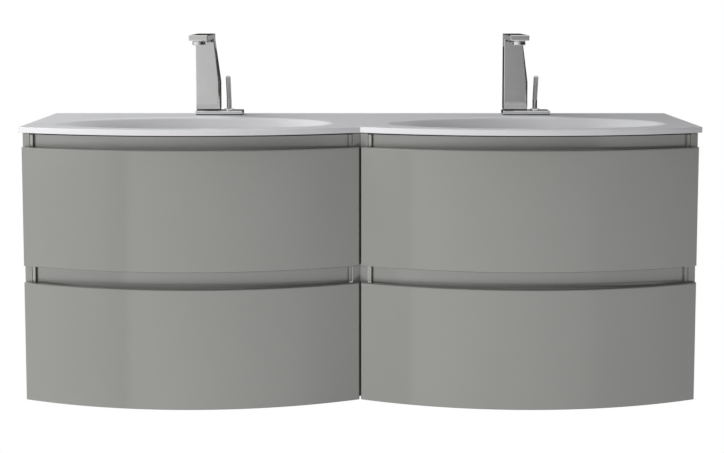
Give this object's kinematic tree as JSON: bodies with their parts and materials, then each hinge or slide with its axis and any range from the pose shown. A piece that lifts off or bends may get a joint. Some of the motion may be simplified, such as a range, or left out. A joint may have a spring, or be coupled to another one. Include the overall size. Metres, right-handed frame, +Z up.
{
  "type": "double sink vanity unit",
  "caption": "Wall-hung double vanity with bowed drawer fronts, recessed grip channels, a moulded double basin and mixer taps with stick levers.",
  "frame": {"origin": "middle of the back edge at the wall, where the basin sits on the carcasses", "axes": "+X to the right seen from the room, +Y into the wall, +Z up"},
  "size_m": [1.392, 0.463, 0.746],
  "materials": {
    "front_lacquer": "grey gloss lacquer on shaped board",
    "carcass_lacquer": "grey gloss lacquer on board",
    "channel_lacquer": "grey gloss lacquer on rolled profile",
    "carcass_board": "grey faced board",
    "drawer_board": "grey faced board, satin",
    "runner_steel": "zinc plated",
    "guard_plastic": "moulded, satin",
    "cap_plastic": "moulded, gloss",
    "basin_marble": "cast mineral marble with a white gel coat",
    "fitting_brass": "raw brass",
    "trap_chrome": "chrome plated",
    "tap_chrome": "polished chrome"
  },
  "bodies": {
    "cabinet": {"basin": "basin_marble", "hanging_rails": "carcass_board", "lower_rails": "carcass_board", "channel_end_caps": "cap_plastic", "cabinet_runners": "runner_steel", "aerators": "tap_chrome", "tap_shanks": "fitting_brass", "tap_nuts": "fitting_brass", "waste_bodies": "tap_chrome", "waste_nuts": "fitting_brass", "bottle_traps": "trap_chrome", "trap_cups": "trap_chrome", "trap_outlets": "trap_chrome", "trap_nuts": "trap_chrome", "left_outer_side": "carcass_lacquer", "left_inner_side": "carcass_lacquer", "left_bottom": "carcass_board", "left_upper_channel": "channel_lacquer", "left_middle_channel": "channel_lacquer", "left_tap_base": "tap_chrome", "left_tap_body": "tap_chrome", "right_outer_side": "carcass_lacquer", "right_inner_side": "carcass_lacquer", "right_bottom": "carcass_board", "right_upper_channel": "channel_lacquer", "right_middle_channel": "channel_lacquer", "right_tap_base": "tap_chrome", "right_tap_body": "tap_chrome"},
    "left_upper_drawer": {"left_upper_front": "front_lacquer", "left_upper_sides": "drawer_board", "left_upper_back": "drawer_board", "left_upper_bottom": "drawer_board", "left_upper_drawer_runners": "runner_steel", "left_upper_trap_guard": "guard_plastic"},
    "left_upper_slide": {"left_upper_middle_runners": "runner_steel"},
    "left_lower_drawer": {"left_lower_front": "front_lacquer", "left_lower_sides": "drawer_board", "left_lower_back": "drawer_board", "left_lower_bottom": "drawer_board", "left_lower_drawer_runners": "runner_steel"},
    "left_lower_slide": {"left_lower_middle_runners": "runner_steel"},
    "right_upper_drawer": {"right_upper_front": "front_lacquer", "right_upper_sides": "drawer_board", "right_upper_back": "drawer_board", "right_upper_bottom": "drawer_board", "right_upper_drawer_runners": "runner_steel", "right_upper_trap_guard": "guard_plastic"},
    "right_upper_slide": {"right_upper_middle_runners": "runner_steel"},
    "right_lower_drawer": {"right_lower_front": "front_lacquer", "right_lower_sides": "drawer_board", "right_lower_back": "drawer_board", "right_lower_bottom": "drawer_board", "right_lower_drawer_runners": "runner_steel"},
    "right_lower_slide": {"right_lower_middle_runners": "runner_steel"},
    "left_collar": {"left_lever_collar": "tap_chrome"},
    "left_stick": {"left_lever": "tap_chrome"},
    "left_stopper": {"left_plug": "tap_chrome"},
    "right_collar": {"right_lever_collar": "tap_chrome"},
    "right_stick": {"right_lever": "tap_chrome"},
    "right_stopper": {"right_plug": "tap_chrome"}
  },
  "joints": [
    {"name": "left_upper_drawer_slide", "type": "slide", "parent": "cabinet", "child": "left_upper_drawer", "axis": [0, -1, 0], "range_m": [0, 0.3]},
    {"name": "left_upper_runner_slide", "type": "slide", "parent": "cabinet", "child": "left_upper_slide", "axis": [0, -1, 0], "range_m": [0, 0.15]},
    {"name": "left_lower_drawer_slide", "type": "slide", "parent": "cabinet", "child": "left_lower_drawer", "axis": [0, -1, 0], "range_m": [0, 0.3]},
    {"name": "left_lower_runner_slide", "type": "slide", "parent": "cabinet", "child": "left_lower_slide", "axis": [0, -1, 0], "range_m": [0, 0.15]},
    {"name": "right_upper_drawer_slide", "type": "slide", "parent": "cabinet", "child": "right_upper_drawer", "axis": [0, -1, 0], "range_m": [0, 0.3]},
    {"name": "right_upper_runner_slide", "type": "slide", "parent": "cabinet", "child": "right_upper_slide", "axis": [0, -1, 0], "range_m": [0, 0.15]},
    {"name": "right_lower_drawer_slide", "type": "slide", "parent": "cabinet", "child": "right_lower_drawer", "axis": [0, -1, 0], "range_m": [0, 0.3]},
    {"name": "right_lower_runner_slide", "type": "slide", "parent": "cabinet", "child": "right_lower_slide", "axis": [0, -1, 0], "range_m": [0, 0.15]},
    {"name": "left_lever_swivel", "type": "hinge", "parent": "cabinet", "child": "left_collar", "pos_m": [-0.296, -0.038, 0.0225], "axis": [0, 0, 1], "range_deg": [-45, 45]},
    {"name": "left_lever_tilt", "type": "hinge", "parent": "left_collar", "child": "left_stick", "pos_m": [-0.296, -0.038, 0.0225], "axis": [1, 0, 0], "range_deg": [0, 20]},
    {"name": "left_plug_lift", "type": "slide", "parent": "cabinet", "child": "left_stopper", "axis": [0, 0, 1], "range_m": [0, 0.007]},
    {"name": "right_lever_swivel", "type": "hinge", "parent": "cabinet", "child": "right_collar", "pos_m": [0.394, -0.038, 0.0225], "axis": [0, 0, 1], "range_deg": [-45, 45]},
    {"name": "right_lever_tilt", "type": "hinge", "parent": "right_collar", "child": "right_stick", "pos_m": [0.394, -0.038, 0.0225], "axis": [1, 0, 0], "range_deg": [0, 20]},
    {"name": "right_plug_lift", "type": "slide", "parent": "cabinet", "child": "right_stopper", "axis": [0, 0, 1], "range_m": [0, 0.007]}
  ],
  "couplings": [
    {"joint": "left_upper_runner_slide", "follows": "left_upper_drawer_slide", "ratio": 0.5},
    {"joint": "left_lower_runner_slide", "follows": "left_lower_drawer_slide", "ratio": 0.5},
    {"joint": "right_upper_runner_slide", "follows": "right_upper_drawer_slide", "ratio": 0.5},
    {"joint": "right_lower_runner_slide", "follows": "right_lower_drawer_slide", "ratio": 0.5}
  ]
}
